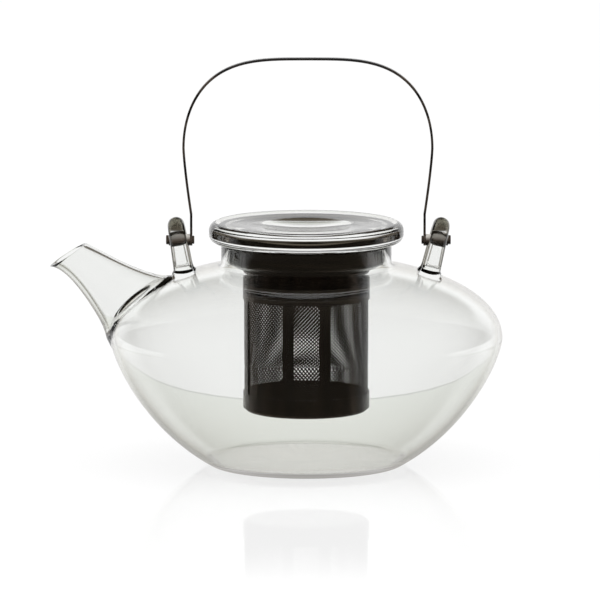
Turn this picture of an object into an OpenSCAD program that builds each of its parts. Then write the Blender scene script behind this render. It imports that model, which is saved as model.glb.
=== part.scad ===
// Glass teapot with a swing bail and a lift-out steel infuser.
// The origin is the middle of the flat base, +Z is up and the spout points along -X.

/* [Bowl] */
// Widest outside diameter of the bowl
bowl_d = 180.6; // [165:0.2:200]
// Height of the widest level above the base
widest_z = 58.9; // [52:0.1:66]
// Height of the shoulder curve, from the widest level to where it would close over the axis
shoulder_h = 37.2; // [32:0.1:46]
// How square the shoulder curve is
shoulder_fullness = 2.1; // [1.9:0.05:2.4]
// Depth of the belly curve, from the widest level to where it would close below the base
belly_h = 69.6; // [67:0.1:76]
// How square the belly curve is where it leaves the widest level
belly_start = 1.41; // [1.35:0.01:1.9]
// How square the belly curve is towards the base
belly_fullness = 2.12; // [1.95:0.01:2.4]
// Thickness of the blown wall
glass_wall = 2; // [1.6:0.1:2.6]
// Thickness of the bottom
base_t = 3.2; // [2.4:0.1:4.5]
// Radius of the edge round the flat base
base_edge_r = 8; // [4:0.5:12]

/* [Neck] */
// Outside diameter of the neck
neck_d = 78.4; // [74:0.2:84]
// Height of the neck above the shoulder
neck_h = 10; // [7:0.5:14]
// Radius between the neck and the shoulder
neck_fillet = 2; // [1:0.25:4]

/* [Spout] */
// How far the tip of the lip stands out past the bowl
spout_reach = 27.7; // [22:0.1:34]
// Depth of the tip below the neck's rim
spout_tip_drop = 10.7; // [6:0.1:14]
// Length of the mouth along X and its rise along Z
spout_mouth = [16.7, 10.8]; // [8:0.1:20]
// Width of the mouth
spout_mouth_w = 17.5; // [15:0.5:20]
// Width of the root, where it meets the bowl
spout_root_w = 40; // [36:0.5:44]
// Height at which the underside of the spout meets the bowl
spout_low_z = 60; // [54:0.5:64]
// Distance from the axis to where the top of the spout meets the shoulder
spout_top_r = 63.8; // [60:0.2:67]
// Wall of the spout
spout_wall = 1.8; // [1.4:0.1:2.4]
// Diameter of the hole from the bowl into the spout
spout_hole_d = 22; // [16:0.5:25]

/* [Lugs] */
// Distance from the axis to the left lug at its pivot
lug_left_x = 58.7; // [57.5:0.1:60]
// Distance from the axis to the right lug at its pivot
lug_right_x = 60.4; // [59.5:0.1:61.5]
// Outward lean of the left lug in degrees
lug_left_lean = 9.5; // [6:0.5:12]
// Outward lean of the right lug in degrees
lug_right_lean = 13.5; // [10:0.5:15]
// Diameter of the glass rod at the arch
lug_rod_d = 7.9; // [7:0.1:8.4]
// Diameter of the rod at its foot
lug_foot_d = 9.2; // [8.6:0.1:10]
// Height of the pivot above the neck's rim
pivot_rise = 1.6; // [0:0.1:4]
// Height of the bar that closes the lug's opening above the shoulder
lug_bar_h = 3.6; // [2.5:0.1:5]

/* [Lid] */
// Diameter of the lid
lid_d = 89.6; // [86:0.2:94]
// Thickness of the lid at its rim
lid_t = 9.3; // [8:0.1:12]
// Radius of the lid's outer edges
lid_edge_r = 2.6; // [1.5:0.1:3.5]
// Diameter of the finger hollow in the top
lid_hollow_d = 44; // [34:1:56]
// Depth of the finger hollow
lid_hollow_depth = 2.6; // [1.5:0.1:4]
// How far the top falls from its rim to the finger hollow
lid_fall = 1.2; // [0.4:0.1:2]
// Depth of the locating ring under the lid
lid_ring_h = 3; // [2:0.25:5]
// Width of the locating ring
lid_ring_w = 4.5; // [3:0.25:7]
// Radius of the locating ring's lower edges
lid_ring_edge_r = 0.8; // [0.4:0.1:1.2]

/* [Infuser] */
// Outside diameter of the basket
basket_d = 58.2; // [54:0.2:62]
// Depth of the basket's underside below the neck's rim
basket_depth = 77.5; // [66:0.5:84]
// Depth of the wide collar below the neck's rim
collar_depth = 8.6; // [7:0.1:10]
// Radius of the collar's lower edge
collar_edge_r = 1.8; // [1.2:0.1:2.4]
// Height of the funnel between the collar and the basket
funnel_h = 3.4; // [2:0.1:5]
// How far the resting flange covers the neck's rim, past its outside
flange_lap = 0.8; // [0:0.1:2]
// Thickness of the pressed sheet
sheet_t = 0.6; // [0.5:0.05:1]
// Thickness of the perforated sheet
screen_t = 0.3; // [0.25:0.05:0.5]
// Number of windows round the basket
window_count = 4; // [3:1:6]
// Height of the windows
window_h = 43.4; // [30:0.2:48]
// Height of the windows' lower edge above the basket's underside
window_foot = 8.8; // [7:0.2:14]
// Width of the bars between the windows
bar_w = 5.4; // [4:0.1:8]
// Turn of the first bar from the front, towards +X, in degrees
bar_turn = 17; // [0:1:45]
// How far each screen laps behind the edges of its window
screen_lap = 1.5; // [1:0.1:2.2]
// Height of the wall of the pressed bottom
cup_h = 5; // [4:0.1:6.5]
// Radius of the bottom's edge
cup_edge_r = 1.6; // [1:0.1:2.2]

/* [Bail] */
// Widest distance between the legs, between their middles
bail_w = 114.2; // [113:0.2:122]
// Height of the crown above the pivots
bail_h = 83.7; // [78:0.1:95]
// Height of the arched part above its widest level
bail_arch_h = 41.3; // [34:0.1:46]
// How flat the crown is
bail_flatness = 3.5; // [2.6:0.1:4]
// How round the shoulders are
bail_roundness = 2.05; // [1.8:0.05:2.4]
// Thickness of the strap
strap_t = 1.1; // [0.9:0.05:1.5]
// Width of the strap
strap_w = 3.6; // [3:0.1:4.4]
// Height of the straight foot of each leg above its pivot
strap_foot_h = 12; // [8:0.5:18]
// Diameter of the flat eye at each end
strap_eye_d = 5.4; // [5:0.1:5.8]

/* [Pivots] */
// Outside diameter of the bush in the lug
bush_d = 4.8; // [4.4:0.1:5]
// Diameter of the pin
pin_d = 3; // [2.4:0.1:3.2]
// Diameter of the pin's head
head_d = 4.3; // [4:0.1:4.6]
// Thickness of the pin's head
head_t = 1.2; // [0.9:0.1:1.6]
// Diameter of the closing cap on the inner end
cap_d = 3.8; // [3.6:0.1:4.2]
// Thickness of the closing cap
cap_t = 0.9; // [0.7:0.1:1.2]

/* [Fits] */
// Gap round the bush in the arch of the lug
arch_play = 0.4; // [0.3:0.05:0.5]
// Gap between a lug and the head of its pin
side_play = 0.2; // [0.15:0.05:0.4]
// Gap between a lug and the eye of the strap
strap_play = 0.8; // [0.6:0.05:1.2]
// Radial gap of the pin in the bush and in the strap
pin_play = 0.05; // [0.02:0.01:0.1]
// Gap between the collar and the neck
collar_play = 0.5; // [0.3:0.05:0.8]
// Gap between the lid's ring and the collar
ring_play = 0.8; // [0.5:0.05:1.2]
// Gap between pressed pieces that fit inside each other
nest_play = 0.05; // [0.02:0.01:0.1]

/* [Hidden] */
$fn = 96;

glass = [0.86, 0.92, 0.91, 0.4];
dark_steel = [0.17, 0.14, 0.12];
screen_steel = [0.3, 0.27, 0.24];

// Steps along each curve, and round the spout
curve_steps = 18;
corner_steps = 6;
spout_steps = 12;
spout_sides = 32;
// Overshoot that keeps a cut clear of the face it passes
over = 1;

bowl_r = bowl_d / 2;
neck_r = neck_d / 2;
neck_in_r = neck_r - glass_wall;

// ---- Curves ----

// Height of the shoulder's outside at radius r
function shoulder_z(r) =
    widest_z + shoulder_h * pow(1 - pow(r / bowl_r, shoulder_fullness), 1 / shoulder_fullness);

// Radius of the shoulder's outside at height z
function shoulder_r(z) =
    bowl_r * pow(1 - pow((z - widest_z) / shoulder_h, shoulder_fullness), 1 / shoulder_fullness);

// Radius of the belly's outside at height z
function belly_r(z) =
    bowl_r * pow(1 - pow((widest_z - z) / belly_h, belly_start), 1 / belly_fullness);

// Slope of the shoulder below the horizontal at radius r
function shoulder_slope(r) = atan((shoulder_z(r - 0.5) - shoulder_z(r + 0.5)));

// Points of an arc about c, from angle a to angle b
function arc(c, r, a, b, steps = corner_steps) =
    [for (i = [0:steps]) let (t = a + (b - a) * i / steps) c + r * [cos(t), sin(t)]];

// Point at t along a cubic curve with four control points
function bezier(p, t) =
    pow(1 - t, 3) * p[0] + 3 * pow(1 - t, 2) * t * p[1] + 3 * (1 - t) * t * t * p[2] + pow(t, 3) * p[3];

// Unit normal of a path at point i, on its left as the path runs
function left_normal(path, i) =
    let (d = path[min(i + 1, len(path) - 1)] - path[max(i - 1, 0)])
    [-d[1], d[0]] / norm(d);

// The path moved to its left by t
function moved_left(path, t) = [for (i = [0:len(path) - 1]) path[i] + t * left_normal(path, i)];

function reversed(list) = [for (i = [len(list) - 1:-1:0]) list[i]];

// ---- Bowl ----

// The edge of the base is an arc that leaves the belly at the belly's own slope
belly_slope = atan(1 / (belly_r(1.5) - belly_r(0.5)));
base_edge_top = base_edge_r * (1 - cos(belly_slope));
base_r = belly_r(base_edge_top) - base_edge_r * sin(belly_slope);
belly_end = asin(pow((widest_z - base_edge_top) / belly_h, belly_start / 2));

// The neck leaves the shoulder through a fillet that is tangent to both
fillet_slope = shoulder_slope(neck_r + neck_fillet);
fillet_r = neck_r + neck_fillet * (1 - sin(fillet_slope));
fillet_mid_z = shoulder_z(fillet_r) + neck_fillet * cos(fillet_slope);
shoulder_end = acos(pow(fillet_r / bowl_r, shoulder_fullness / 2));
rim_z = shoulder_z(neck_r) + neck_h;

bowl_outside = concat(
    [[0, 0]],
    arc([base_r, base_edge_r], base_edge_r, -90, -90 + belly_slope),
    [for (i = [curve_steps - 1:-1:1]) let (a = belly_end * i / curve_steps)
        [bowl_r * pow(cos(a), 2 / belly_fullness), widest_z - belly_h * pow(sin(a), 2 / belly_start)]],
    [for (i = [0:curve_steps - 1]) let (a = shoulder_end * i / curve_steps)
        [bowl_r * pow(cos(a), 2 / shoulder_fullness), widest_z + shoulder_h * pow(sin(a), 2 / shoulder_fullness)]],
    arc([neck_r + neck_fillet, fillet_mid_z], neck_fillet, 270 - fillet_slope, 180),
    [[neck_r, rim_z]]);

bowl_inset = moved_left(bowl_outside, glass_wall);
bowl_inside = [for (p = bowl_inset) if (p[1] > base_t + base_edge_top) p];
floor_r = bowl_inside[0][0] - (bowl_inside[0][1] - base_t) / tan(belly_slope);

module bowl_solid() {
    rotate_extrude() polygon(concat(bowl_outside, [[0, rim_z]]));
}

module bowl() {
    color(glass) difference() {
        rotate_extrude() polygon(concat(
            bowl_outside, reversed(bowl_inside), [[floor_r, base_t], [0, base_t]]));
        spout_hole();
    }
}

// ---- Spout ----

spout_low_joint = [-belly_r(min(spout_low_z, widest_z)), spout_low_z];
spout_top_joint = [-spout_top_r, shoulder_z(spout_top_r)];
spout_tip = [-bowl_r - spout_reach, rim_z - spout_tip_drop];
// Control points of the underside and of the top line, from the mouth to just inside the bowl
spout_low_line = [spout_tip, spout_tip + [8, 0],
    spout_low_joint + [-7.8, 15], spout_low_joint + [3.2, -8]];
spout_top_line = [spout_tip + spout_mouth, spout_tip + spout_mouth + [13.3, -6.5],
    spout_top_joint + [-14.2, 2.7], spout_top_joint + [7.8, -0.5]];

function spout_low(t) = bezier(spout_low_line, t);
function spout_top(t) = bezier(spout_top_line, t);
function spout_mid(t) = (spout_low(t) + spout_top(t)) / 2;
function spout_half_w(t) = spout_mouth_w / 2 + (spout_root_w - spout_mouth_w) / 2 * t * t;

// Sine of the angle between a section and the spout's run, which thickens the wall across it
function spout_square(t) =
    let (run = spout_mid(t + 0.01) - spout_mid(t - 0.01), up = spout_top(t) - spout_low(t))
    abs(run[0] * up[1] - run[1] * up[0]) / norm(run) / norm(up);

// One elliptical section, inset by the wall for the inside
function spout_ring(t, inset) =
    let (m = spout_mid(t), u = (spout_top(t) - spout_low(t)) / 2,
        k = 1 - inset / spout_square(t) / norm(u), w = spout_half_w(t) - inset)
    [for (i = [0:spout_sides - 1]) let (a = 360 * i / spout_sides)
        [m[0] + u[0] * k * cos(a), w * sin(a), m[1] + u[1] * k * cos(a)]];

// Two triangles between point i of ring p and of ring q
function band(p, q, i, n) = let (j = (i + 1) % n)
    [[p + i, p + j, q + j], [p + i, q + j, q + i]];

module spout_tube() {
    n = spout_sides;
    last = spout_steps;
    rings = concat([for (k = [0:last]) spout_ring(k / last, 0)],
        [for (k = [0:last]) spout_ring(k / last, spout_wall)]);
    inner = (last + 1) * n;
    polyhedron(
        points = [for (ring = rings) for (p = ring) p],
        faces = [for (i = [0:n - 1]) each concat(
            [for (k = [0:last - 1]) each band((k + 1) * n, k * n, i, n)],
            [for (k = [0:last - 1]) each band(inner + k * n, inner + (k + 1) * n, i, n)],
            band(0, inner, i, n),
            band(inner + last * n, last * n, i, n))]);
}

module spout() {
    color(glass) difference() {
        spout_tube();
        bowl_solid();
    }
}

// The hole is square to the wall, halfway along the spout's root
spout_hole_z = (spout_low_z + spout_top_joint[1]) / 2 + 3.5;
spout_hole_r = shoulder_r(spout_hole_z);

module spout_hole() {
    translate([-spout_hole_r, 0, spout_hole_z])
        rotate([0, -shoulder_slope(spout_hole_r), 0])
            cylinder(h = 6 * glass_wall, d = spout_hole_d, center = true);
}

// ---- Lugs ----

pivot_z = rim_z + pivot_rise;
lug_arch_r = bush_d / 2 + arch_play;
lug_mid_r = lug_arch_r + lug_rod_d / 2;

// Distance along the leaning leg from the pivot down to the shoulder
function lug_leg(x, lean) = (pivot_z - shoulder_z(x - (pivot_z - shoulder_z(x)) * tan(lean))) / cos(lean);

module lug(x, lean) {
    leg = lug_leg(x, lean);
    difference() {
        translate([x, 0, pivot_z]) rotate([0, lean, 0]) {
            rotate([0, -90, 0]) rotate([0, 0, -90])
                rotate_extrude(angle = 180) translate([lug_mid_r, 0]) circle(d = lug_rod_d);
            for (side = [-1, 1]) translate([0, side * lug_mid_r, -leg - lug_foot_d / 2]) {
                cylinder(h = leg + lug_foot_d / 2, d1 = lug_foot_d, d2 = lug_rod_d);
                cylinder(h = lug_foot_d / 2 + lug_bar_h, d1 = lug_foot_d + 4.5, d2 = lug_foot_d - 0.4);
            }
            translate([0, 0, -leg + lug_bar_h - lug_foot_d / 2]) rotate([90, 0, 0])
                cylinder(h = 2 * lug_mid_r, d = lug_foot_d, center = true);
        }
        bowl_solid();
    }
}

module lug_left() {
    color(glass) rotate([0, 0, 180]) lug(lug_left_x, lug_left_lean);
}

module lug_right() {
    color(glass) lug(lug_right_x, lug_right_lean);
}

// ---- Infuser ----

sheet_mid = sheet_t / 2;
flange_r = neck_r + flange_lap;
collar_r = neck_in_r - collar_play;
basket_r = basket_d / 2;
basket_z = rim_z - basket_depth;
collar_z = rim_z - collar_depth;
funnel_z = collar_z - funnel_h;
lip_r = basket_r - sheet_t - nest_play;
lip_h = 4;
// The funnel ends in a bend, from which the lip hangs straight down inside the basket
funnel_end = [lip_r + 0.9, funnel_z + 0.5];
lip_top = [lip_r - sheet_mid, funnel_z - 0.6];

// Middle line of the pressed rim, from the flange down to the lip inside the basket
rim_line = concat(
    [[flange_r, rim_z + sheet_mid]],
    [[collar_r - sheet_mid + 1, rim_z + sheet_mid]],
    arc([collar_r - sheet_mid + 0.6, rim_z + sheet_mid - 0.6], 0.6, 90, 180, 3),
    arc([collar_r - sheet_mid - collar_edge_r, collar_z + collar_edge_r], collar_edge_r, 0, -60),
    [funnel_end, lip_top, [lip_top[0], funnel_z - lip_h]]);

module infuser_rim() {
    color(dark_steel) rotate_extrude()
        polygon(concat(moved_left(rim_line, sheet_mid), reversed(moved_left(rim_line, -sheet_mid))));
}

// The sleeve's inner edge comes up to the underside of the bend
bend_slope = atan((funnel_end[1] - lip_top[1]) / (funnel_end[0] - lip_top[0]));
sleeve_top_z = lip_top[1] + (lip_r + nest_play - lip_top[0]) * tan(bend_slope)
    - sheet_mid / cos(bend_slope) - nest_play;
sleeve_z = basket_z + cup_edge_r;
window_z = basket_z + window_foot;
window_arc = 360 / window_count - 2 * asin(bar_w / 2 / basket_r);

module basket_sleeve() {
    color(dark_steel) difference() {
        translate([0, 0, sleeve_z]) cylinder(h = sleeve_top_z - sleeve_z, r = basket_r);
        translate([0, 0, sleeve_z - over])
            cylinder(h = sleeve_top_z - sleeve_z + 2 * over, r = basket_r - sheet_t);
        for (k = [0:window_count - 1]) window(k);
    }
}

// Angle from +X to the middle of a window; the first bar stands bar_turn from the front
function window_turn(k) = -90 + bar_turn + (k + 0.5) * 360 / window_count;

module window(k) {
    rotate([0, 0, window_turn(k) - window_arc / 2]) translate([0, 0, window_z])
        rotate_extrude(angle = window_arc)
            translate([basket_r - sheet_t - over, 0]) square([sheet_t + 2 * over, window_h]);
}

module screen(k) {
    r = basket_r - sheet_t - nest_play;
    turn = window_arc + 2 * screen_lap / r * 180 / PI;
    color(screen_steel) rotate([0, 0, window_turn(k) - turn / 2])
        translate([0, 0, window_z - screen_lap])
            rotate_extrude(angle = turn)
                translate([r - screen_t, 0]) square([screen_t, window_h + 2 * screen_lap]);
}

module screen_front() { screen(window_count - 1); }
module screen_right() { screen(0); }
module screen_back() { screen(1); }
module screen_left() { for (k = [2:window_count - 2]) screen(k); }

// Middle line of the pressed bottom, from the axis out and up its wall
cup_r = basket_r - sheet_t - nest_play - sheet_mid;
cup_line = concat(
    [[0, basket_z + sheet_mid]],
    arc([cup_r - cup_edge_r, basket_z + sheet_mid + cup_edge_r], cup_edge_r, -90, 0),
    [[cup_r, basket_z + cup_h]]);

module basket_bottom() {
    color(dark_steel) rotate_extrude()
        polygon(concat(moved_left(cup_line, -sheet_mid), reversed(moved_left(cup_line, sheet_mid))));
}

// ---- Lid ----

lid_r = lid_d / 2;
lid_z = rim_z + sheet_t;
lid_top_z = lid_z + lid_t;
lid_crest_r = lid_r - lid_edge_r;
lid_hollow_r = lid_hollow_d / 2;
ring_r = collar_r - sheet_t - ring_play;

lid_outline = concat(
    [[0, lid_z]],
    arc([lid_crest_r, lid_z + lid_edge_r], lid_edge_r, -90, 0),
    arc([lid_crest_r, lid_top_z - lid_edge_r], lid_edge_r, 0, 90),
    [for (i = [1:curve_steps / 2]) let (t = i / (curve_steps / 2))
        [lid_crest_r + (lid_hollow_r - lid_crest_r) * t, lid_top_z - lid_fall * (1 - cos(90 * t))]],
    [for (i = [1:curve_steps / 2]) let (t = i / (curve_steps / 2))
        [lid_hollow_r * (1 - t), lid_top_z - lid_fall - lid_hollow_depth * sin(90 * t)]]);

module lid() {
    color(glass) rotate_extrude() polygon(lid_outline);
}

// The locating ring is fused to the underside of the lid
module lid_ring() {
    color(glass) rotate_extrude() polygon(concat(
        [[ring_r, lid_z], [ring_r - lid_ring_w, lid_z]],
        arc([ring_r - lid_ring_w + lid_ring_edge_r, lid_z - lid_ring_h + lid_ring_edge_r],
            lid_ring_edge_r, 180, 270, 3),
        arc([ring_r - lid_ring_edge_r, lid_z - lid_ring_h + lid_ring_edge_r], lid_ring_edge_r, -90, 0, 3)));
}

// ---- Bail ----

// Inner face of a leaning lug at the depth of a round piece of radius r about the pivot
function lug_inner_x(x, lean, r) = x - lug_rod_d / 2 / cos(lean) - r * tan(lean);
function lug_outer_x(x, lean, r) = x + lug_rod_d / 2 / cos(lean) + r * tan(lean);

strap_eye_r = strap_eye_d / 2;
// Outer face of the strap at each pivot
strap_left_x = -lug_inner_x(lug_left_x, lug_left_lean, strap_eye_r) + strap_play;
strap_right_x = lug_inner_x(lug_right_x, lug_right_lean, strap_eye_r) - strap_play;
bail_x = (strap_left_x + strap_right_x) / 2;
pivot_half = (strap_right_x - strap_left_x) / 2 - strap_t / 2;
bail_half = bail_w / 2;
widest_rise = bail_h - bail_arch_h;
leg_steps = 10;

// Middle line of the strap on its right-hand side, from the pivot up to the crown
bail_line = concat(
    [[pivot_half, 0]],
    [for (i = [0:leg_steps - 1]) let (s = 1 - i / leg_steps)
        [bail_half - (bail_half - pivot_half) * pow(s, 1.3), widest_rise - (widest_rise - strap_foot_h) * s]],
    [for (i = [0:curve_steps]) let (a = 90 * i / curve_steps)
        [bail_half * pow(cos(a), 2 / bail_flatness), widest_rise + bail_arch_h * pow(sin(a), 2 / bail_roundness)]]);

bail_path = concat(bail_line, [for (p = reversed(bail_line)) if (p[0] > 0.01) [-p[0], p[1]]]);

module bail_strap() {
    color(dark_steel) difference() {
        union() {
            translate([bail_x, strap_w / 2, pivot_z]) rotate([90, 0, 0]) linear_extrude(strap_w)
                polygon(concat(moved_left(bail_path, strap_t / 2), reversed(moved_left(bail_path, -strap_t / 2))));
            for (x = [strap_left_x, strap_right_x - strap_t]) along_x(x) cylinder(h = strap_t, d = strap_eye_d);
        }
        for (x = [strap_left_x, strap_right_x - strap_t])
            along_x(x - over) cylinder(h = strap_t + 2 * over, r = pin_r + pin_play);
    }
}

// Puts a piece on the pivot's axis, starting at x and running along +X
module along_x(x) {
    translate([x, 0, pivot_z]) rotate([0, 90, 0]) children();
}

// ---- Pivots ----

pin_r = pin_d / 2;
head_left_x = -lug_outer_x(lug_left_x, lug_left_lean, head_d / 2) - side_play;
head_right_x = lug_outer_x(lug_right_x, lug_right_lean, head_d / 2) + side_play;

// The bush fills the space between the pin's head and the strap
module bush(from_x, to_x) {
    color(dark_steel) along_x(from_x) difference() {
        cylinder(h = to_x - from_x, d = bush_d);
        translate([0, 0, -over]) cylinder(h = to_x - from_x + 2 * over, r = pin_r + pin_play);
    }
}

module bush_left() { bush(head_left_x, strap_left_x); }
module bush_right() { bush(strap_right_x, head_right_x); }

// A pin lies from its outer head to the inner face of the strap and on into its cap
module pin_left() {
    color(dark_steel) {
        along_x(head_left_x - head_t) cylinder(h = head_t, d = head_d);
        along_x(head_left_x) cylinder(h = strap_left_x + strap_t - head_left_x, d = pin_d);
    }
}

module pin_right() {
    color(dark_steel) {
        along_x(head_right_x) cylinder(h = head_t, d = head_d);
        along_x(strap_right_x - strap_t) cylinder(h = head_right_x - strap_right_x + strap_t, d = pin_d);
    }
}

module pin_cap_left() {
    color(dark_steel) along_x(strap_left_x + strap_t) cylinder(h = cap_t, d = cap_d);
}

module pin_cap_right() {
    color(dark_steel) along_x(strap_right_x - strap_t - cap_t) cylinder(h = cap_t, d = cap_d);
}

bowl();
spout();
lug_left();
lug_right();
lid();
lid_ring();
infuser_rim();
basket_sleeve();
screen_front();
screen_right();
screen_back();
screen_left();
basket_bottom();
bail_strap();
bush_left();
bush_right();
pin_left();
pin_right();
pin_cap_left();
pin_cap_right();
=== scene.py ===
from math import acos, asin, atan, cos, degrees, hypot, pi, radians, sin, tan

import bpy
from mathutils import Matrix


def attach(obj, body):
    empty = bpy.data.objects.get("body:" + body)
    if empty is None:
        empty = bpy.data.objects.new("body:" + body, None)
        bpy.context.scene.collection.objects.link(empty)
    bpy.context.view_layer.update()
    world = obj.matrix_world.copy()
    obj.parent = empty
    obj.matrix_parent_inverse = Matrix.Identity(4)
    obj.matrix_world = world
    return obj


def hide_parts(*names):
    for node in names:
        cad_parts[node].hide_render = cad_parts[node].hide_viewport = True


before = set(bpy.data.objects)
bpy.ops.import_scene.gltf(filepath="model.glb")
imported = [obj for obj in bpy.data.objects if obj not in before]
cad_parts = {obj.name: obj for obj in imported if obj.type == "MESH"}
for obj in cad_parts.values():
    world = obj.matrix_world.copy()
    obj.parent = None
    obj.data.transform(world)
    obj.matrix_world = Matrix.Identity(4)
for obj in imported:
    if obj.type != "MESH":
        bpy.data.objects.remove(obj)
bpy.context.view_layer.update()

mm = 0.001
weld = 0.002 * mm  # points closer than this are merged


# Selecting, and finishing a piece

def clearSelection():
    if bpy.context.object and bpy.context.object.mode != "OBJECT":
        bpy.ops.object.mode_set(mode="OBJECT")
    bpy.ops.object.select_all(action="DESELECT")


def pick(piece):
    clearSelection()
    piece.select_set(True)
    bpy.context.view_layer.objects.active = piece


def startPoint(name, x, z):
    clearSelection()
    bpy.ops.mesh.primitive_plane_add(size=mm)
    piece = bpy.context.object
    piece.name = piece.data.name = name
    bpy.ops.object.mode_set(mode="EDIT")
    bpy.ops.mesh.select_all(action="SELECT")
    bpy.ops.mesh.merge(type="CENTER")
    bpy.ops.transform.translate(value=(x * mm, 0, z * mm))
    return piece


def drawPath(points):  # extrudes the selected point along the rest of a path in XZ, in mm
    for (x0, z0), (x1, z1) in zip(points, points[1:]):
        bpy.ops.mesh.extrude_vertices_move(
            TRANSFORM_OT_translate={"value": ((x1 - x0) * mm, 0, (z1 - z0) * mm)})


def tidyMesh():
    bpy.ops.mesh.select_all(action="SELECT")
    bpy.ops.mesh.remove_doubles(threshold=weld)
    bpy.ops.mesh.normals_make_consistent(inside=False)
    bpy.ops.object.mode_set(mode="OBJECT")


def lathe(name, outline, steps=160):  # spins an outline of (radius, height) round Z
    piece = startPoint(name, *outline[0])
    drawPath(outline)
    bpy.ops.mesh.select_all(action="SELECT")
    bpy.ops.mesh.spin(steps=steps, angle=2 * pi, center=(0, 0, 0), axis=(0, 0, 1))
    tidyMesh()
    return piece


def loft(name, rings, sides):  # bridges rings of (centre, turn, radius, width over radius) and closes the ends
    clearSelection()
    bpy.ops.mesh.primitive_circle_add(vertices=3, radius=mm)
    piece = bpy.context.object
    piece.name = piece.data.name = name
    bpy.ops.object.mode_set(mode="EDIT")
    bpy.ops.mesh.select_all(action="SELECT")
    bpy.ops.mesh.delete(type="VERT")
    for centre, turn, radius, widen in rings:
        place = [c * mm for c in centre]
        bpy.ops.mesh.primitive_circle_add(
            vertices=sides, radius=radius * mm, fill_type="NOTHING", location=place, rotation=turn)
        if widen != 1:
            bpy.ops.transform.resize(value=(1, widen, 1), center_override=place)
    bpy.ops.mesh.select_all(action="SELECT")
    bpy.ops.mesh.bridge_edge_loops()
    bpy.ops.mesh.select_all(action="DESELECT")
    bpy.ops.mesh.select_non_manifold()
    bpy.ops.mesh.edge_face_add()
    tidyMesh()
    return piece


def applyModifier(piece, kind, **settings):
    pick(piece)
    modifier = piece.modifiers.new(kind.title(), kind)
    for key, value in settings.items():
        setattr(modifier, key, value)
    bpy.ops.object.modifier_apply(modifier=modifier.name)


def roundEdges(piece, width, segments):
    applyModifier(
        piece, "BEVEL", width=width * mm, segments=segments, limit_method="ANGLE", angle_limit=radians(60))


def cut(piece, *tools, operation="DIFFERENCE", keep=False):
    for tool in tools:
        applyModifier(piece, "BOOLEAN", object=tool, operation=operation, solver="EXACT")
        if not keep:
            bpy.data.objects.remove(tool)


def copyOf(piece, name):
    other = piece.copy()
    other.data = piece.data.copy()
    other.name = other.data.name = name
    bpy.context.scene.collection.objects.link(other)
    return other


def join(name, *parts):
    clearSelection()
    for part in parts:
        part.select_set(True)
    bpy.context.view_layer.objects.active = parts[0]
    bpy.ops.object.join()
    parts[0].name = parts[0].data.name = name
    return parts[0]


def applyPlace(piece):
    pick(piece)
    bpy.ops.object.transform_apply(location=True, rotation=True, scale=True)


def finishPiece(piece, body, finish, slotName, *nodes, sharp=35):
    pick(piece)
    bpy.ops.object.shade_smooth_by_angle(angle=radians(sharp))
    piece.data.materials.clear()
    piece.data.materials.append(finish)
    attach(piece, body)
    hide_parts(*nodes)
    print("made", piece.name, len(piece.data.polygons), "faces")


def arc(centre, radius, start, end, steps=8):
    turns = [radians(start + (end - start) * i / steps) for i in range(steps + 1)]
    return [(centre[0] + radius * cos(a), centre[1] + radius * sin(a)) for a in turns]


def moved(path, distance):  # a path moved to its left
    out = []
    for i, (x, z) in enumerate(path):
        (x0, z0), (x1, z1) = path[max(i - 1, 0)], path[min(i + 1, len(path) - 1)]
        run = hypot(x1 - x0, z1 - z0)
        out.append((x - distance * (z1 - z0) / run, z + distance * (x1 - x0) / run))
    return out


# Shader maths as Python expressions

class Wire:
    def __init__(self, nodes, socket):
        self.nodes, self.socket = nodes, socket

    def maths(self, operation, *values):
        return self.nodes.add("Math", {"operation": operation}, **{str(i): v for i, v in enumerate(values)})

    def atMost(self, other): return self.maths("MINIMUM", self, other)
    def atLeast(self, other): return self.maths("MAXIMUM", self, other)
    def __abs__(self): return self.maths("ABSOLUTE", self)
    def __add__(self, other): return self.maths("ADD", self, other)
    def __radd__(self, other): return self.maths("ADD", other, self)
    def __sub__(self, other): return self.maths("SUBTRACT", self, other)
    def __rsub__(self, other): return self.maths("SUBTRACT", other, self)
    def __mul__(self, other): return self.maths("MULTIPLY", self, other)
    def __rmul__(self, other): return self.maths("MULTIPLY", other, self)


class Nodes:
    def __init__(self, tree):
        self.tree = tree
        tree.nodes.clear()

    def add(self, kind, settings={}, out=0, **values):
        node = self.tree.nodes.new("ShaderNode" + kind)
        for key, value in settings.items():
            if key == "stops":
                for (place, colour), stop in zip(value, node.color_ramp.elements):
                    stop.position, stop.color = place, (*colour, 1)
            else:
                setattr(node, key, value)
        for key, value in values.items():
            socket = node.inputs[int(key) if key.isdigit() else key.replace("_", " ")]
            if isinstance(value, Wire):
                self.tree.links.new(value.socket, socket)
            else:
                socket.default_value = value
        return Wire(self, node.outputs[out])

    def end(self, kind, shader):
        node = self.tree.nodes.new("ShaderNodeOutput" + kind)
        self.tree.links.new(shader.socket, node.inputs["Surface"])


def between(n, value, low, high, top=1.0):  # rises smoothly from 0 to top
    return n.add(
        "MapRange", {"interpolation_type": "SMOOTHSTEP"},
        Value=value, From_Min=low, From_Max=high, To_Min=0.0, To_Max=top)


def mixColours(n, share, first, second):
    return n.add("Mix", {"data_type": "RGBA"}, 2, **{"0": share, "6": first, "7": second})


def mixShaders(n, share, first, second):
    return n.add("MixShader", **{"0": share, "1": first, "2": second})


def splitVector(n, vector, axes):
    return [n.add("SeparateXYZ", out=axis, Vector=vector) for axis in axes]


def newFinish(name):
    material = bpy.data.materials.new(name)
    material.use_nodes = True
    return material, Nodes(material.node_tree)


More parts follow.
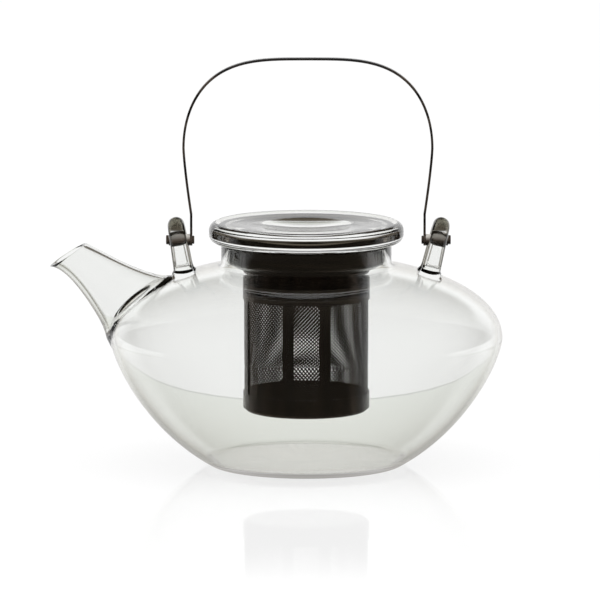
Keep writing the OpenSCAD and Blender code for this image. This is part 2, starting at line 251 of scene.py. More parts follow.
# The edge colour is painted shade: where the surface turns from view, the glass takes a dark colour instead of the
# clear one. potEdge is the pot's painted edge shade.
glassLook = dict(
    ior=1.47, tint=(0.984, 0.99, 0.982, 1), shadowTint=(0.9, 0.9, 0.9, 1),
    paintedEdgeShade=(0.42, 0.4, 0.33, 1), potEdge=(0.3, 0.26, 0.19, 1), edgeStart=0.72,
    waveHeight=0.00004, waveStrength=0.4, waves=(18, 18, 160))

paintedGlassShade = dict(  # where the pot's glass is painted darker: painted shade on the edges of the rods, the neck and the spout, and a painted dark arch that stands in for the dark metal seen through it; places in metres, each from clear to full
    thinEdge=(0.07, 0.062, 0.045, 1), paintedArchShade=(0.008, 0.0062, 0.0036, 1), rodEdge=0.5, spoutEdge=0.25,
    rodIn=(0.046, 0.048), rodOut=(0.077, 0.079), rodUp=(0.092, 0.0935), archUp=(0.1088, 0.11),
    neckOut=(0.041, 0.043), neckUp=(0.0945, 0.096), spoutIn=(-0.093, -0.089), spoutFall=0.76, spoutLow=(0.0122, 0.0162))


def darkParts(n, place):  # masks for the painted shade: the lugs' rods, their arches, the edges that read dark, and the spout's underside
    x, z = splitVector(n, place, "XZ")
    side = abs(x)
    rod = between(n, side, *paintedGlassShade["rodIn"]) * (1 - between(n, side, *paintedGlassShade["rodOut"]))
    rod = rod * between(n, z, *paintedGlassShade["rodUp"])
    arch = rod * between(n, z, *paintedGlassShade["archUp"])
    neck = (1 - between(n, side, *paintedGlassShade["neckOut"])) * between(n, z, *paintedGlassShade["neckUp"])
    spoutSide = 1 - between(n, x, *paintedGlassShade["spoutIn"])
    underside = spoutSide * (1 - between(n, z + x * paintedGlassShade["spoutFall"], *paintedGlassShade["spoutLow"]))
    return rod, arch, rod + neck + spoutSide, underside


def makeGlass(name, pot=False):
    material, n = newFinish(name)
    place = n.add("TexCoord", out="Object")
    tint, paintedEdgeShade, edgeStart, edgeEnd = glassLook["tint"], glassLook["paintedEdgeShade"], glassLook["edgeStart"], 1.0
    if pot:  # solid rod, the neck and the spout get painted darker edges, and the rod's arch is painted darker all through, standing in for the dark metal seen through it
        rod, arch, thin, underside = darkParts(n, place)
        tint = mixColours(n, arch, tint, paintedGlassShade["paintedArchShade"])
        paintedEdgeShade = mixColours(n, thin, glassLook["potEdge"], paintedGlassShade["thinEdge"])
        widen = rod * paintedGlassShade["rodEdge"] + underside * paintedGlassShade["spoutEdge"]
        edgeStart, edgeEnd = edgeStart - widen, 1 - widen
    waves = n.add("Mapping", Vector=place, Scale=glassLook["waves"])
    height = n.add("TexNoise", Vector=waves, Scale=1.0, Detail=1.0)
    bump = n.add("Bump", Height=height, Strength=glassLook["waveStrength"], Distance=glassLook["waveHeight"])
    body, edge = [
        n.add(
            "BsdfPrincipled", Base_Color=colour, Roughness=0.0, IOR=glassLook["ior"], Transmission_Weight=1.0,
            Normal=bump)
        for colour in (tint, paintedEdgeShade)]
    # painted shade: the dark edge colour takes over where the surface turns from view
    facing = n.add("LayerWeight", out="Facing", Blend=0.5)
    glass = mixShaders(n, between(n, facing, edgeStart, edgeEnd), body, edge)
    clear = n.add("BsdfTransparent", Color=glassLook["shadowTint"])
    n.end("Material", mixShaders(n, n.add("LightPath", out="Is Shadow Ray"), glass, clear))
    return material


steelLook = dict(
    dark=(0.009, 0.0075, 0.0065), light=(0.055, 0.042, 0.033), cool=(0.03, 0.034, 0.042),
    bandFrom=0.42, bandTo=0.7, coolFrom=0.55, coolTo=0.75, coolMost=0.8, wideScale=0.3,
    streaks=dict(z=(150, 150, 3), x=(3, 150, 150), ring=(25, 25, 600)),
    roughLow=0.16, roughHigh=0.32, bumpStrength=0.15, bumpHeight=0.00002,
    highlightFrom=-0.2, highlightTo=2.4, shadeFrom=-1.8, shadeTo=0.4, paintedHighlight=(1, 0.96, 0.9))  # heights from the bail's axis, in mm, for the painted shade below and the painted highlight on top, then the painted highlight's colour


def makeSteel(name, lift=1.0, along="z", metal=1.0, paintTopLight=False):  # a piece on the bail's axis gets a painted highlight on top and painted shade below
    material, n = newFinish(name)
    place = n.add("TexCoord", out="Object")
    run = n.add("Mapping", Vector=place, Scale=steelLook["streaks"][along])
    streak = n.add("TexNoise", Vector=run, Scale=1.0, Detail=3.0, Roughness=0.6)
    wideRun = n.add("Mapping", Vector=run, Scale=[steelLook["wideScale"]] * 3)
    wide = n.add("TexNoise", Vector=wideRun, Scale=1.0, Detail=1.0)
    light = [lift * c for c in steelLook["light"]]
    stops = [(steelLook["bandFrom"], steelLook["dark"]), (steelLook["bandTo"], light)]
    band = n.add("ValToRGB", {"stops": stops}, Fac=streak)
    cool = between(n, wide, steelLook["coolFrom"], steelLook["coolTo"], steelLook["coolMost"])
    colour = mixColours(n, cool, band, (*steelLook["cool"], 1))
    # painted light: near white on top and near black below, set by height, standing in for light from above
    if paintTopLight:
        [height] = splitVector(n, place, "Z")
        under, top = [
            between(n, height, (pivotZ + steelLook[low]) * mm, (pivotZ + steelLook[high]) * mm)
            for low, high in (("shadeFrom", "shadeTo"), ("highlightFrom", "highlightTo"))]
        colour = mixColours(n, under, (*steelLook["dark"], 1), colour)
        colour = mixColours(n, top, colour, (*steelLook["paintedHighlight"], 1))
    rough = steelLook["roughLow"] + streak * (steelLook["roughHigh"] - steelLook["roughLow"])
    bump = n.add("Bump", Height=streak, Strength=steelLook["bumpStrength"], Distance=steelLook["bumpHeight"])
    n.end("Material", n.add("BsdfPrincipled", Base_Color=colour, Metallic=metal, Roughness=rough, Normal=bump))
    return material


potGlass = makeGlass("pot glass", pot=True)
lidGlass = makeGlass("lid glass")
tubeSteel = makeSteel("tube steel")
ringSteel = makeSteel("ring steel", along="ring")
strapSteel = makeSteel("strap steel", lift=2.4, along="x", metal=0.3)
screenSteel = makeSteel("screen steel", lift=1.2)
print("finishes made")


# The glass pot

bowl = dict(
    radius=90.3, widestZ=58.9, shoulderH=37.2, shoulderFull=2.1, bellyH=69.6, bellyStart=1.41, bellyFull=2.12,
    wall=2.0, floorT=3.2, footEdge=8.0, neckR=39.2, neckH=10.0, neckFillet=2.0, rimEdge=0.7,
    cornerH=2.2, cornerIn=3.2, cutAbove=6, steps=192)


def shoulderZ(r):
    full = bowl["shoulderFull"]
    return bowl["widestZ"] + bowl["shoulderH"] * (1 - (r / bowl["radius"]) ** full) ** (1 / full)


def shoulderR(z):
    full = bowl["shoulderFull"]
    return bowl["radius"] * (1 - ((z - bowl["widestZ"]) / bowl["shoulderH"]) ** full) ** (1 / full)


def bellyR(z):
    down = (bowl["widestZ"] - z) / bowl["bellyH"]
    return bowl["radius"] * (1 - down ** bowl["bellyStart"]) ** (1 / bowl["bellyFull"])


rimZ = shoulderZ(bowl["neckR"]) + bowl["neckH"]


def bowlOutline(steps=36):
    r, middle, edge = bowl["radius"], bowl["widestZ"], bowl["footEdge"]
    slope = atan(1 / (bellyR(1.5) - bellyR(0.5)))
    edgeTop = edge * (1 - cos(slope))
    footR = bellyR(edgeTop) - edge * sin(slope)
    bellyEnd = asin(((middle - edgeTop) / bowl["bellyH"]) ** (bowl["bellyStart"] / 2))
    fillet, neckR = bowl["neckFillet"], bowl["neckR"]
    lean = atan(shoulderZ(neckR + fillet - 0.5) - shoulderZ(neckR + fillet + 0.5))
    filletR = neckR + fillet * (1 - sin(lean))
    shoulderEnd = acos((filletR / r) ** (bowl["shoulderFull"] / 2))
    belly = [
        (r * cos(a) ** (2 / bowl["bellyFull"]), middle - bowl["bellyH"] * sin(a) ** (2 / bowl["bellyStart"]))
        for a in [bellyEnd * i / steps for i in range(steps - 1, 0, -1)]]
    power = 2 / bowl["shoulderFull"]
    shoulder = [
        (r * cos(a) ** power, middle + bowl["shoulderH"] * sin(a) ** power)
        for a in [shoulderEnd * i / steps for i in range(steps)]]
    return [
        (0, 0), (footR * 0.5, 0), *arc((footR, edge), edge, -90, -90 + degrees(slope)), *belly, *shoulder,
        *arc((neckR + fillet, shoulderZ(filletR) + fillet * cos(lean)), fillet, 270 - degrees(lean), 180)]


def bowlInline(outline):  # the inside, with a rounded corner at the thicker floor and a flare at the rim
    floorT, rise, edge = bowl["floorT"], bowl["cornerH"], bowl["rimEdge"]
    inner = [p for p in moved(outline, bowl["wall"]) if p[1] > floorT + rise]
    (r0, z0), (r1, z1) = inner[0], inner[1]
    run = (r1 - r0) / (z1 - z0)
    cornerR = r0 - (z0 - floorT) * run
    corner = [
        (cornerR + run * k * rise - bowl["cornerIn"] * (1 - k) ** 2, floorT + rise * k * k)
        for k in (0, 0.25, 0.5, 0.75)]
    neckIn, above = bowl["neckR"] - bowl["wall"], rimZ + bowl["cutAbove"]
    flare = [(neckIn, rimZ - edge), *arc((neckIn + edge, rimZ - edge), edge, 180, 90, 5)]
    return [(0, floorT), (cornerR * 0.5, floorT), *corner, *inner, *flare, (neckIn + edge, above), (0, above)]


spout = dict(
    reach=27.7, tipDrop=10.7, mouth=(16.7, 10.8), mouthW=17.5, rootW=40.0, lowZ=60.0, topR=63.8, wall=1.8,
    lowBend=((8, 0), (-7.8, 15), (3.2, -8)), topBend=((13.3, -6.5), (-14.2, 2.7), (7.8, -0.5)),  # handles, then root
    lipEdge=0.6, lipInside=((0.012, 0.3), (0.025, 0)), lipOutside=((0, 0.5), (0.008, 0.12), (0.02, 0)),
    pastMouth=(2.0, 0.01),
    rootFlare=1.4, rootFrom=0.72, rootSpan=0.16, holeR=11.0, holeRise=3.5, holeDeep=12, steps=26, sides=64)


def bezier(p, t):
    k = (1 - t) ** 3, 3 * (1 - t) ** 2 * t, 3 * (1 - t) * t * t, t ** 3
    return sum(a * q[0] for a, q in zip(k, p)), sum(a * q[1] for a, q in zip(k, p))


def plus(p, dx, dz):
    return p[0] + dx, p[1] + dz


lowJoint = (-bellyR(bowl["widestZ"]), spout["lowZ"])
topJoint = (-spout["topR"], shoulderZ(spout["topR"]))
tip = (-bowl["radius"] - spout["reach"], rimZ - spout["tipDrop"])
mouthTop = plus(tip, *spout["mouth"])
lowLine, topLine = [
    [end, plus(end, *bend[0]), plus(joint, *bend[1]), plus(joint, *bend[2])]
    for end, joint, bend in ((tip, lowJoint, spout["lowBend"]), (mouthTop, topJoint, spout["topBend"]))]


def spoutRing(t, inset, shift=0.0):  # one elliptical section; inset is the wall, shift moves it out past the mouth
    low, top = bezier(lowLine, t), bezier(topLine, t)
    up = (top[0] - low[0]) / 2, (top[1] - low[1]) / 2
    half = hypot(*up)
    (ax, az), (bx, bz) = [
        [(p + q) / 2 for p, q in zip(bezier(lowLine, s), bezier(topLine, s))] for s in (t - 0.01, t + 0.01)]
    run = hypot(bx - ax, bz - az)
    square = abs((bx - ax) * up[1] - (bz - az) * up[0]) / run / half
    radius = half - inset / square
    width = spout["mouthW"] / 2 + (spout["rootW"] - spout["mouthW"]) / 2 * t * t - inset
    out = shift / run
    centre = ((low[0] + top[0]) / 2 - (bx - ax) * out, 0, (low[1] + top[1]) / 2 - (bz - az) * out)
    return centre, (0, -atan(up[1] / up[0]), 0), radius, width / radius


def spoutSolid(name, inset, flare):
    edge = spout["lipEdge"]
    rings = []
    for i in range(spout["steps"] + 1):
        t = i / spout["steps"]
        root = max(0, min(1, (t - spout["rootFrom"]) / spout["rootSpan"]))
        rings.append(spoutRing(t, inset - flare * root ** 3))
    if inset:  # the inside opens past the mouth
        lip = [spoutRing(0, inset - edge, shift) for shift in spout["pastMouth"]]
        lip += [spoutRing(t, inset - edge * share) for t, share in spout["lipInside"]]
    else:
        lip = [spoutRing(t, edge * share) for t, share in spout["lipOutside"]]
    rings[:1] = lip
    return loft(name, rings, spout["sides"])


lug = dict(
    leftX=58.7, rightX=60.4, leftLean=9.5, rightLean=13.5, rodD=7.9, footD=9.2, pivotRise=1.6, barH=3.6, archR=2.8,
    flare=1.5, flareH=3.2, flareBend=2.2, sunk=4, legSteps=14, archSteps=20, sides=40)
pivotZ = rimZ + lug["pivotRise"]


def lugSolid(name, x, lean, side):
    tilt = radians(lean)
    leg = (pivotZ - shoulderZ(x - (pivotZ - shoulderZ(x)) * tan(tilt))) / cos(tilt)
    rodR, footR, depth = lug["rodD"] / 2, lug["footD"] / 2, leg + lug["sunk"]
    middle = lug["archR"] + rodR
    rings = []
    for i in range(lug["legSteps"]):  # up one leg, with a flared foot
        down = depth - depth * i / lug["legSteps"]
        foot = max(0, min(1, (down - leg + lug["flareH"]) / lug["flareH"]))
        radius = rodR + (footR - rodR) * down / depth + lug["flare"] * foot ** lug["flareBend"]
        rings.append(((0, -middle, -down), (0, 0, 0), radius, 1))
    other = [((c[0], -c[1], c[2]), turn, r, w) for c, turn, r, w in reversed(rings)]
    for i in range(lug["archSteps"] + 1):
        a = pi * i / lug["archSteps"]
        rings.append(((0, -middle * cos(a), middle * sin(a)), (-a, 0, 0), rodR, 1))
    loop = loft(name, rings + other, lug["sides"])
    barZ = -leg + lug["barH"] - footR
    bar = loft("bar", [((0, y, barZ), (radians(90), 0, 0), footR, 1) for y in (-middle, middle)], lug["sides"])
    cut(loop, bar, operation="UNION")
    loop.rotation_euler = (0, tilt * side, 0)
    loop.location = (x * side * mm, 0, pivotZ * mm)
    applyPlace(loop)
    return loop


def makePot():
    outline = bowlOutline()
    rim, edge = bowl["neckR"], bowl["rimEdge"]
    outside = outline + [*arc((rim - edge, rimZ - edge), edge, 0, 90, 5), (0, rimZ)]
    pot = lathe("pot_glass", outside, bowl["steps"])
    passage = spoutSolid("passage", spout["wall"], 0)
    cut(passage, pot, keep=True)
    print("bowl and passage made")
    cut(pot, spoutSolid("spout_solid", 0, spout["rootFlare"]),
        lugSolid("lug_one", lug["leftX"], lug["leftLean"], -1),
        lugSolid("lug_two", lug["rightX"], lug["rightLean"], 1), operation="UNION")
    print("spout and lugs joined")
    holeZ = (spout["lowZ"] + topJoint[1]) / 2 + spout["holeRise"]
    holeR = shoulderR(holeZ)
    lean = atan(shoulderZ(holeR - 0.5) - shoulderZ(holeR + 0.5))
    clearSelection()
    bpy.ops.mesh.primitive_cylinder_add(
        vertices=64, radius=spout["holeR"] * mm, depth=spout["holeDeep"] * mm,
        location=(-holeR * mm, 0, holeZ * mm), rotation=(0, -lean, 0))
    hole = bpy.context.object
    applyPlace(hole)
    cut(pot, lathe("cavity", bowlInline(outline), bowl["steps"]), passage, hole)
    finishPiece(pot, "pot", potGlass, "glass", "bowl", "spout", "lug_left", "lug_right", sharp=32)


makePot()


# The lid

lid = dict(
    radius=44.8, thick=9.3, edge=3.8, hollowR=22.0, hollowDeep=2.6, fall=1.2, fallSteps=12, hollowSteps=16,
    ringR=35.3, ringH=3.0, ringEdge=0.8, gap=0.6)


def makeLid():  # its ring is a solid disc here, which shows as a dark band in the rim
    low = rimZ + lid["gap"]
    top, ringLow = low + lid["thick"], low - lid["ringH"]
    edge, ringEdge, hollow = lid["edge"], lid["ringEdge"], lid["hollowR"]
    crest = lid["radius"] - edge
    fall = [
        (crest + (hollow - crest) * t, top - lid["fall"] * (1 - cos(t * pi / 2)))
        for t in [i / lid["fallSteps"] for i in range(1, lid["fallSteps"] + 1)]]
    dish = [
        (hollow * (1 - t), top - lid["fall"] - lid["hollowDeep"] * sin(t * pi / 2))
        for t in [i / lid["hollowSteps"] for i in range(1, lid["hollowSteps"] + 1)]]
    outline = [
        (0, ringLow), (lid["ringR"] * 0.5, ringLow),
        *arc((lid["ringR"] - ringEdge, ringLow + ringEdge), ringEdge, -90, 0, 4), (lid["ringR"], low),
        *arc((crest, low + edge), edge, -90, 0), *arc((crest, top - edge), edge, 0, 90), *fall, *dish]
    finishPiece(lathe("lid_glass", outline, 192), "lid", lidGlass, "lid_glass", "lid", "lid_ring", sharp=40)


makeLid()


# The infuser

infuser = dict(
    flangeR=40.0, collarR=36.7, collarDeep=8.6, collarEdge=1.8, funnelH=3.4, sheet=0.6, tubeR=29.1, deep=77.5,
    rimCorner=0.6, flatEnd=1, collarTop=4, lipBend=((0.9, 0.5), (0.2, 0.1)), lipStart=0.6, lipH=4.0,
    windows=4, windowFoot=8.8, windowH=43.4, barW=5.4, barTurn=17.0, corner=1.0, cutR=25, cutDeep=20,
    cupH=5.0, cupEdge=1.6, nest=0.05, seat=0.736)
baseZ = rimZ - infuser["deep"]
windowArc = 360 / infuser["windows"] - 2 * degrees(asin(infuser["barW"] / 2 / infuser["tubeR"]))


def windowTurn(k):
    return radians(-90 + infuser["barTurn"] + (k + 0.5) * 360 / infuser["windows"])


def thicken(piece, thickness, edge=0.12):
    applyModifier(piece, "SOLIDIFY", thickness=thickness * mm, offset=0)
    roundEdges(piece, edge, 2)


def makeRim():
    half, corner, edge = infuser["sheet"] / 2, infuser["rimCorner"], infuser["collarEdge"]
    collarZ, funnelZ = rimZ - infuser["collarDeep"], rimZ - infuser["collarDeep"] - infuser["funnelH"]
    collar = infuser["collarR"] - half
    lip = infuser["tubeR"] - infuser["sheet"] - infuser["nest"]
    path = [
        (infuser["flangeR"], rimZ + half), (collar + infuser["flatEnd"], rimZ + half),
        *arc((collar + corner, rimZ + half - corner), corner, 90, 180, 5), (collar, rimZ - infuser["collarTop"]),
        *arc((collar - edge, collarZ + edge), edge, 0, -60),
        *[plus((lip, funnelZ), *step) for step in infuser["lipBend"]],
        (lip - half, funnelZ - infuser["lipStart"]), (lip - half, funnelZ - infuser["lipH"])]
    rim = lathe("infuser_rim_sheet", path)
    thicken(rim, infuser["sheet"])
    finishPiece(rim, "infuser", ringSteel, "dark_steel", "infuser_rim")


def windowCutter(half):  # a block whose corners are rounded along x
    clearSelection()
    bpy.ops.mesh.primitive_cube_add(size=1)
    cutter = bpy.context.object
    cutter.scale = (infuser["cutDeep"] * mm, 2 * half * mm, infuser["windowH"] * mm)
    applyPlace(cutter)
    bpy.ops.object.mode_set(mode="EDIT")
    bpy.ops.mesh.select_mode(type="EDGE")
    bpy.ops.object.mode_set(mode="OBJECT")
    for edge in cutter.data.edges:
        a, b = [cutter.data.vertices[v].co for v in edge.vertices]
        edge.select = abs(a.x - b.x) > mm
    bpy.ops.object.mode_set(mode="EDIT")
    bpy.ops.mesh.bevel(offset=infuser["corner"] * mm, segments=5)
    bpy.ops.mesh.select_mode(type="VERT")
    bpy.ops.object.mode_set(mode="OBJECT")
    return cutter


def makeTube():
    low, high = baseZ + infuser["cupEdge"], rimZ - infuser["collarDeep"] - infuser["funnelH"] - infuser["seat"]
    middle, cutR = infuser["tubeR"] - infuser["sheet"] / 2, infuser["cutR"]
    tube = lathe("infuser_tube", [(middle, low), (middle, low + 5), (middle, high)], 192)
    applyModifier(tube, "SOLIDIFY", thickness=infuser["sheet"] * mm, offset=0)
    half = infuser["tubeR"] * sin(radians(windowArc / 2))
    windowZ = baseZ + infuser["windowFoot"] + infuser["windowH"] / 2
    for k in range(infuser["windows"]):
        cutter, turn = windowCutter(half), windowTurn(k)
        cutter.location = (cutR * cos(turn) * mm, cutR * sin(turn) * mm, windowZ * mm)
        cutter.rotation_euler = (0, 0, turn)
        applyPlace(cutter)
        cut(tube, cutter)
    finishPiece(tube, "infuser", tubeSteel, "dark_steel", "basket_sleeve")


def makeCup():
    half = infuser["sheet"] / 2
    wall = infuser["tubeR"] - infuser["sheet"] - infuser["nest"] - half
    edge = infuser["cupEdge"]
    cup = lathe("infuser_cup", [
        (0, baseZ + half), (wall * 0.5, baseZ + half), *arc((wall - edge, baseZ + half + edge), edge, -90, 0),
        (wall, baseZ + infuser["cupH"])])
    thicken(cup, infuser["sheet"])
    finishPiece(cup, "infuser", ringSteel, "dark_steel", "basket_bottom")


screen = dict(thick=0.15, lap=1.5, across=25, up=27, holeR=0.44)


def makeScreenCell(w, h):  # one hole in the middle and a quarter of one at each corner
    r = screen["holeR"]
    corners = [(-w / 2, -h / 2, 0), (w / 2, -h / 2, 90), (w / 2, h / 2, 180), (-w / 2, h / 2, 270)]
    outline = []
    for x, z, start in corners:
        outline += arc((x, z), r, start + 90, start, 2)
    cell = startPoint("screen_sheet", *outline[0])
    drawPath(outline + outline[:1])
    bpy.ops.mesh.primitive_circle_add(vertices=8, radius=r * mm, rotation=(pi / 2, 0, 0))
    bpy.ops.mesh.select_all(action="SELECT")
    bpy.ops.mesh.remove_doubles(threshold=weld)
    bpy.ops.mesh.fill()
    bpy.ops.object.mode_set(mode="OBJECT")
    return cell


def repeatAlong(piece, count, **step):
    way = tuple(step.get(a, 0) * mm for a in "xyz")
    applyModifier(piece, "ARRAY", count=count, use_relative_offset=False, use_constant_offset=True,
                  constant_offset_displace=way, use_merge_vertices=True, merge_threshold=0.01 * mm)


def makeScreens():
    radius = infuser["tubeR"] - infuser["sheet"] - infuser["nest"] - screen["thick"] / 2
    width = radians(windowArc) * radius + 2 * screen["lap"]
    height = infuser["windowH"] + 2 * screen["lap"]
    w, h = width / screen["across"], height / screen["up"]
    sheet = makeScreenCell(w, h)
    repeatAlong(sheet, screen["across"], x=w)
    repeatAlong(sheet, screen["up"], z=h)
    sheet.location = ((w - width) / 2 * mm, 0, (baseZ + infuser["windowFoot"] - screen["lap"] + h / 2) * mm)
    applyPlace(sheet)
    applyModifier(sheet, "SOLIDIFY", thickness=screen["thick"] * mm, offset=0)
    applyModifier(sheet, "SIMPLE_DEFORM", deform_method="BEND", deform_axis="Z", angle=width / radius)
    sheet.location.y = -radius * mm
    applyPlace(sheet)
    for k, name in enumerate(("right", "back", "left", "front")):
        part = sheet if k == 3 else copyOf(sheet, "screen_sheet_" + name)
        part.rotation_euler.z = windowTurn(k) + pi / 2
        applyPlace(part)
        finishPiece(part, "infuser", screenSteel, "screen_steel", "screen_" + name, sharp=30)


makeRim()
makeTube()
makeCup()
makeScreens()


# The bail

bail = dict(
    width=114.2, height=83.7, archH=41.3, flat=3.5, roundness=2.05, thick=1.1, strapW=3.6, footH=12.0, footBend=1.3,
    footSteps=16, archSteps=40, eyeD=5.4, gap=0.8, edge=0.2)
pivot = dict(
    bushD=5.3, bushEdge=0.25, pinD=3.0, headD=4.3, headT=1.2, pinEdge=0.35, capD=3.8, capT=0.9, capEdge=0.3, side=0.2)


def lugFace(x, lean, radius, out):
    tilt = radians(lean)
    return x + out * (lug["rodD"] / 2 / cos(tilt) + radius * tan(tilt))


strapLeft = -lugFace(lug["leftX"], lug["leftLean"], bail["eyeD"] / 2, -1) + bail["gap"]
strapRight = lugFace(lug["rightX"], lug["rightLean"], bail["eyeD"] / 2, -1) - bail["gap"]
headLeft = -lugFace(lug["leftX"], lug["leftLean"], pivot["headD"] / 2, 1) - pivot["side"]
headRight = lugFace(lug["rightX"], lug["rightLean"], pivot["headD"] / 2, 1) + pivot["side"]


def alongX(name, start, end, radius):
    clearSelection()
    bpy.ops.mesh.primitive_cylinder_add(
        vertices=48, radius=radius * mm, depth=abs(end - start) * mm,
        location=((start + end) / 2 * mm, 0, pivotZ * mm), rotation=(0, pi / 2, 0))
    piece = bpy.context.object
    piece.name = piece.data.name = name
    applyPlace(piece)
    return piece


def strapPath():  # the middle of the strip in XZ, from the right eye over the top to the left one
    middle, half = (strapLeft + strapRight) / 2, (strapRight - strapLeft) / 2 - bail["thick"] / 2
    wide, rise = bail["width"] / 2, bail["height"] - bail["archH"]
    side = [(half, 0)]
    for i in range(bail["footSteps"]):
        s = 1 - i / bail["footSteps"]
        side.append((wide - (wide - half) * s ** bail["footBend"], rise - (rise - bail["footH"]) * s))
    for i in range(bail["archSteps"]):
        a = pi / 2 * i / bail["archSteps"]
        side.append((wide * cos(a) ** (2 / bail["flat"]), rise + bail["archH"] * sin(a) ** (2 / bail["roundness"])))
    side.append((0, bail["height"]))
    return [(middle + x, pivotZ + z) for x, z in side + [(-x, z) for x, z in reversed(side[:-1])]]


def makeStrap():
    path = strapPath()
    strap = startPoint("bail_strip", *path[0])
    drawPath(path)
    bpy.ops.mesh.select_all(action="SELECT")
    bpy.ops.transform.translate(value=(0, -bail["strapW"] / 2 * mm, 0))
    bpy.ops.mesh.extrude_region_move(TRANSFORM_OT_translate={"value": (0, bail["strapW"] * mm, 0)})
    tidyMesh()
    applyModifier(strap, "SOLIDIFY", thickness=bail["thick"] * mm, offset=0)
    eyes = [alongX("eye", x, x + bail["thick"], bail["eyeD"] / 2) for x in (strapLeft, strapRight - bail["thick"])]
    strap = join("bail_strip", strap, *eyes)
    roundEdges(strap, bail["edge"], 3)
    finishPiece(strap, "bail", strapSteel, "dark_steel", "bail_strap")


# the bush's steel has a painted highlight on top and painted shade below
bushSteel = makeSteel("bush steel", lift=3.0, along="x", metal=0.3, paintTopLight=True)


def makePivot(side, head, strapOut, inwards):  # inwards is 1 or -1, towards the middle of the pot
    strapIn = strapOut + inwards * bail["thick"]
    bush = alongX(side + "_bush_ring", strapOut, head, pivot["bushD"] / 2)
    roundEdges(bush, pivot["bushEdge"], 3)
    finishPiece(bush, "bail", bushSteel, "dark_steel", "bush_" + side)
    pin = join(
        side + "_pin_rod", alongX("shaft", strapIn, head, pivot["pinD"] / 2),
        alongX("head", head, head - inwards * pivot["headT"], pivot["headD"] / 2))
    roundEdges(pin, pivot["pinEdge"], 4)
    finishPiece(pin, "bail", strapSteel, "dark_steel", "pin_" + side)
    cap = alongX(side + "_pin_end", strapIn, strapIn + inwards * pivot["capT"], pivot["capD"] / 2)
    roundEdges(cap, pivot["capEdge"], 4)
    finishPiece(cap, "bail", strapSteel, "dark_steel", "pin_cap_" + side)


makeStrap()
makePivot("left", headLeft, strapLeft, 1)
makePivot("right", headRight, strapRight, -1)


# Floor, world, lamp and camera

studio = dict(
    floorSize=8.0, mirror=0.16, mirrorRough=0.02, mirrorEnd=-0.36, mirrorFull=-0.22, lit=0.2, litTone=0.9, bounce=0.4,
    inner=(0.1, 0.085, 0.065), fill=0.3, sky=1.2, skyBack=(0.65, 0.9), skyLow=(0.3, 0.42),
    lampSize=3.0, lampPower=35, lampAt=(0.2, -0.6, 3.0), lampTurn=(-11, 4))

backdrop = dict(  # what shows through the glass: a floor greyed with painted shade, and white past a line behind the pot
    nearTone=(0.84, 0.85, 0.8), farTone=(0.9, 0.915, 0.88), lineTone=(0.72, 0.73, 0.71), lineW=0.005, soft=0.004,
    backEdge=0.173, bend=6, bendEnd=0.01, sides=(0.12, 0.32), dimNear=(-0.08, 0.0), dimFar=(0.0, 0.15), dimShare=0.55)


def grey(tone):
    return tone, tone, tone, 1


white = grey(1)


def rayKinds(n):  # a ray that a sharp surface lets through counts as glossy too, so that part is taken off
    camera, glossy, through = [
        n.add("LightPath", out="Is " + kind + " Ray") for kind in ("Camera", "Glossy", "Transmission")]
    turned = n.add("LightPath", out="Glossy Depth").atMost(1.0)
    return camera, glossy * (1 - through), through, turned


def throughTone(n, x, y):  # the floor's tone behind the glass, greyed with painted shade
    edge, soft = backdrop["backEdge"], backdrop["soft"]
    away = y - (x * x).atMost(backdrop["bendEnd"]) * backdrop["bend"]
    toFar = n.add("MapRange", {}, Value=away, From_Min=0.0, From_Max=edge)
    around = between(n, abs(x).atLeast(0 - y), *backdrop["sides"])  # the other sides only grow lighter, without a line
    near = mixColours(n, toFar, (*backdrop["nearTone"], 1), (*backdrop["farTone"], 1))
    past = between(n, away, edge, edge + soft)
    line = between(n, away, edge - backdrop["lineW"], edge) * (1 - past) * (1 - around)
    near = mixColours(n, line, near, (*backdrop["lineTone"], 1))
    return mixColours(n, past.atLeast(around), near, white)


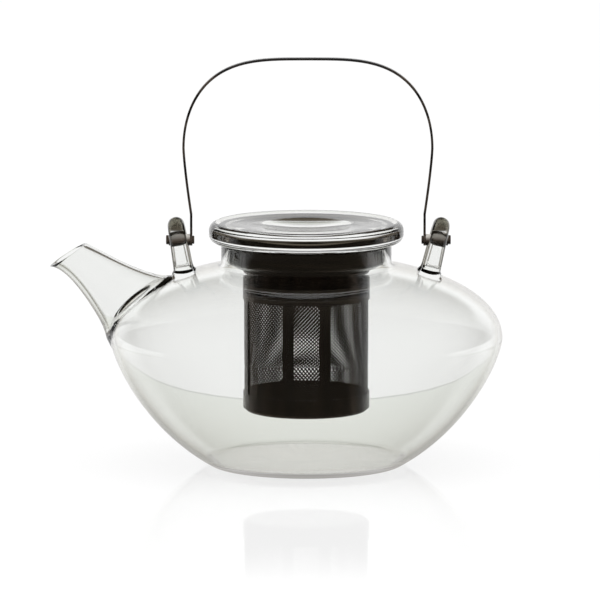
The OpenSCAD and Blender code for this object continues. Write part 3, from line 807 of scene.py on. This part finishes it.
def makeFloor():
    clearSelection()
    bpy.ops.mesh.primitive_plane_add(size=studio["floorSize"])
    floorPlane = bpy.context.object
    floorPlane.name = "floor"
    material, n = newFinish("white floor")
    x, y = splitVector(n, n.add("TexCoord", out="Object"), "XY")
    camera, glossy, through, turned = rayKinds(n)
    share = backdrop["dimShare"]
    dim = 1 - share * between(n, y, *backdrop["dimNear"]) - (1 - share) * between(n, y, *backdrop["dimFar"])
    # seen through the glass, the floor shows painted shade
    tone = mixColours(n, through, white, throughTone(n, x, y))
    tone = mixColours(n, (glossy + through * turned) * dim, tone, (*studio["inner"], 1))
    glow = n.add("Emission", Color=tone, Strength=1.0)
    lit = n.add("BsdfDiffuse", Color=grey(studio["litTone"]))
    mirror = n.add("BsdfGlossy", Color=white, Roughness=studio["mirrorRough"])
    fade = between(n, y, studio["mirrorEnd"], studio["mirrorFull"], studio["mirror"])
    seen = mixShaders(n, fade * camera, mixShaders(n, studio["lit"], glow, lit), mirror)
    looks = mixShaders(n, glossy + through, seen, glow)
    underneath = n.add("BsdfDiffuse", Color=grey(studio["bounce"]))  # what light from the floor does to the object
    n.end("Material", mixShaders(n, camera + glossy + through, underneath, looks))
    floorPlane.data.materials.append(material)
    print("made the floor")


def makeWorld():  # what steel and the inner faces of the glass reflect is dim, except low down at the back
    world = bpy.data.worlds.new("studio")
    bpy.context.scene.world = world
    world.use_nodes = True
    n = Nodes(world.node_tree)
    y, z = splitVector(n, n.add("TexCoord", out="Generated"), "YZ")
    lowBack = between(n, y, *studio["skyBack"]) * (1 - between(n, z, *studio["skyLow"]))
    camera, glossy, through, turned = rayKinds(n)
    colour = mixColours(n, (glossy + through * turned) * (1 - lowBack), white, (*studio["inner"], 1))
    seen = camera + glossy + through
    sky = studio["fill"] + z.atLeast(0.0) * studio["sky"]
    n.end("World", n.add("Background", Color=colour, Strength=seen + (1 - seen) * sky))
    print("made the world")


def makeLamp():
    data = bpy.data.lights.new("overhead", "AREA")
    data.size, data.energy = studio["lampSize"], studio["lampPower"]
    lamp = bpy.data.objects.new("overhead", data)
    lamp.location = studio["lampAt"]
    lamp.rotation_euler = [radians(turn) for turn in (*studio["lampTurn"], 0)]
    lamp.visible_glossy = lamp.visible_transmission = False
    bpy.context.scene.collection.objects.link(lamp)


view = dict(place=(-0.0029, -4.5, 0.728), pitch=81.762, lens=593.1, sensor=36, near=0.1, far=50)


def makeCamera():
    data = bpy.data.cameras.new("camera")
    data.lens, data.sensor_width = view["lens"], view["sensor"]
    data.clip_start, data.clip_end = view["near"], view["far"]
    camera = bpy.data.objects.new("camera", data)
    camera.location, camera.rotation_euler = view["place"], (radians(view["pitch"]), 0, 0)
    bpy.context.scene.collection.objects.link(camera)
    bpy.context.scene.camera = camera


makeFloor()
makeWorld()
makeLamp()
makeCamera()
bpy.context.scene.view_settings.view_transform = "Standard"

print("done")
